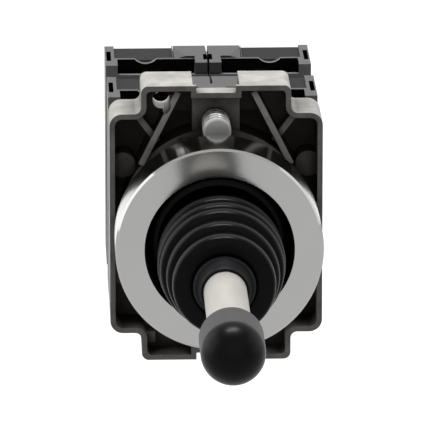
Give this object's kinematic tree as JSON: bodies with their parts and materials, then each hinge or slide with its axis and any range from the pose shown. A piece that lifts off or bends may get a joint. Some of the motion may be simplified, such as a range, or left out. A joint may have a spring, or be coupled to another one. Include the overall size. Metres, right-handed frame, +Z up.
{
  "type": "industrial joystick",
  "caption": "Panel-mounted four-way joystick: spring-centred lever in a boot, round bezel, cast fixing collar with clamp screw and a stack of contact blocks.",
  "frame": {"origin": "on the head's axis, at the gasket's rear face, which lies on the panel's front face", "axes": "+Y from the user through the panel to the contact blocks, +X to the user's right, +Z up"},
  "size_m": [0.03, 0.1119, 0.04],
  "materials": {
    "satin_metal": "satin",
    "zinc_casting": "as cast",
    "bright_steel": "ground",
    "black_rubber": "matt",
    "black_gloss": "polished",
    "black_plastic": "moulded",
    "grey_plastic": "moulded",
    "green_plastic": "moulded",
    "contact_brass": "stamped"
  },
  "bodies": {
    "head": {"bezel": "satin_metal", "head_barrel": "zinc_casting", "panel_gasket": "black_rubber", "boot_clamp_ring": "bright_steel", "rubber_boot": "black_rubber", "rod_guide": "black_plastic", "retaining_ring": "bright_steel", "centring_spring": "bright_steel", "fixing_collar": "zinc_casting", "locating_pin": "bright_steel", "terminal_screws": "bright_steel", "terminal_clamps": "bright_steel", "front_left_housing": "grey_plastic", "front_left_cover": "grey_plastic", "front_left_contacts": "contact_brass", "front_left_spring": "bright_steel", "front_right_housing": "grey_plastic", "front_right_cover": "grey_plastic", "front_right_contacts": "contact_brass", "front_right_spring": "bright_steel", "rear_left_housing": "grey_plastic", "rear_left_cover": "grey_plastic", "rear_left_contacts": "contact_brass", "rear_left_spring": "bright_steel", "rear_right_housing": "grey_plastic", "rear_right_cover": "grey_plastic", "rear_right_contacts": "contact_brass", "rear_right_spring": "bright_steel"},
    "gimbal": {"gimbal_ring": "bright_steel", "gimbal_pins": "bright_steel"},
    "lever": {"lever_shaft": "bright_steel", "pivot_pins": "bright_steel", "actuator_plate": "bright_steel", "plate_nut": "bright_steel", "knob": "black_gloss"},
    "plunger_left": {"push_rod_left": "black_plastic", "front_left_plunger": "green_plastic", "front_left_bridge": "contact_brass"},
    "plunger_right": {"push_rod_right": "black_plastic", "front_right_plunger": "green_plastic", "front_right_bridge": "contact_brass"},
    "plunger_up": {"push_rod_up": "black_plastic", "rear_left_plunger": "green_plastic", "rear_left_bridge": "contact_brass"},
    "plunger_down": {"push_rod_down": "black_plastic", "rear_right_plunger": "green_plastic", "rear_right_bridge": "contact_brass"},
    "clamp_screw_body": {"clamp_screw": "bright_steel"},
    "front_left_latch_body": {"front_left_latch": "grey_plastic"},
    "front_right_latch_body": {"front_right_latch": "grey_plastic"},
    "rear_left_latch_body": {"rear_left_latch": "grey_plastic"},
    "rear_right_latch_body": {"rear_right_latch": "grey_plastic"}
  },
  "joints": [
    {"name": "tilt_updown", "type": "hinge", "parent": "head", "child": "gimbal", "pos_m": [0, 0.0015, 0], "axis": [1, 0, 0], "range_deg": [-12, 12], "stiffness_Nm_per_rad": 0.25, "deforming": ["rubber_boot", "centring_spring"]},
    {"name": "tilt_leftright", "type": "hinge", "parent": "gimbal", "child": "lever", "pos_m": [0, 0.0015, 0], "axis": [0, 0, 1], "range_deg": [-12, 12], "stiffness_Nm_per_rad": 0.25, "deforming": ["rubber_boot", "centring_spring"]},
    {"name": "plunger_left_slide", "type": "slide", "parent": "head", "child": "plunger_left", "axis": [0, 1, 0], "range_m": [-0.00147, 0.00147], "deforming": ["front_left_spring"]},
    {"name": "plunger_right_slide", "type": "slide", "parent": "head", "child": "plunger_right", "axis": [0, 1, 0], "range_m": [-0.00147, 0.00147], "deforming": ["front_right_spring"]},
    {"name": "plunger_up_slide", "type": "slide", "parent": "head", "child": "plunger_up", "axis": [0, 1, 0], "range_m": [-0.00147, 0.00147], "deforming": ["rear_left_spring"]},
    {"name": "plunger_down_slide", "type": "slide", "parent": "head", "child": "plunger_down", "axis": [0, 1, 0], "range_m": [-0.00147, 0.00147], "deforming": ["rear_right_spring"]},
    {"name": "clamp_screw_travel", "type": "slide", "parent": "head", "child": "clamp_screw_body", "axis": [0, -1, 0], "range_m": [-0.0004, 0.0008]},
    {"name": "front_left_latch_slide", "type": "slide", "parent": "head", "child": "front_left_latch_body", "axis": [0, 1, 0], "range_m": [0, 0.0012]},
    {"name": "front_right_latch_slide", "type": "slide", "parent": "head", "child": "front_right_latch_body", "axis": [0, 1, 0], "range_m": [0, 0.0012]},
    {"name": "rear_left_latch_slide", "type": "slide", "parent": "head", "child": "rear_left_latch_body", "axis": [0, 1, 0], "range_m": [0, 0.0012]},
    {"name": "rear_right_latch_slide", "type": "slide", "parent": "head", "child": "rear_right_latch_body", "axis": [0, 1, 0], "range_m": [0, 0.0012]}
  ],
  "couplings": [
    {"joint": "plunger_left_slide", "follows": "tilt_leftright", "m_per_rad": -0.007},
    {"joint": "plunger_right_slide", "follows": "tilt_leftright", "m_per_rad": 0.007},
    {"joint": "plunger_up_slide", "follows": "tilt_updown", "m_per_rad": -0.007},
    {"joint": "plunger_down_slide", "follows": "tilt_updown", "m_per_rad": 0.007}
  ]
}
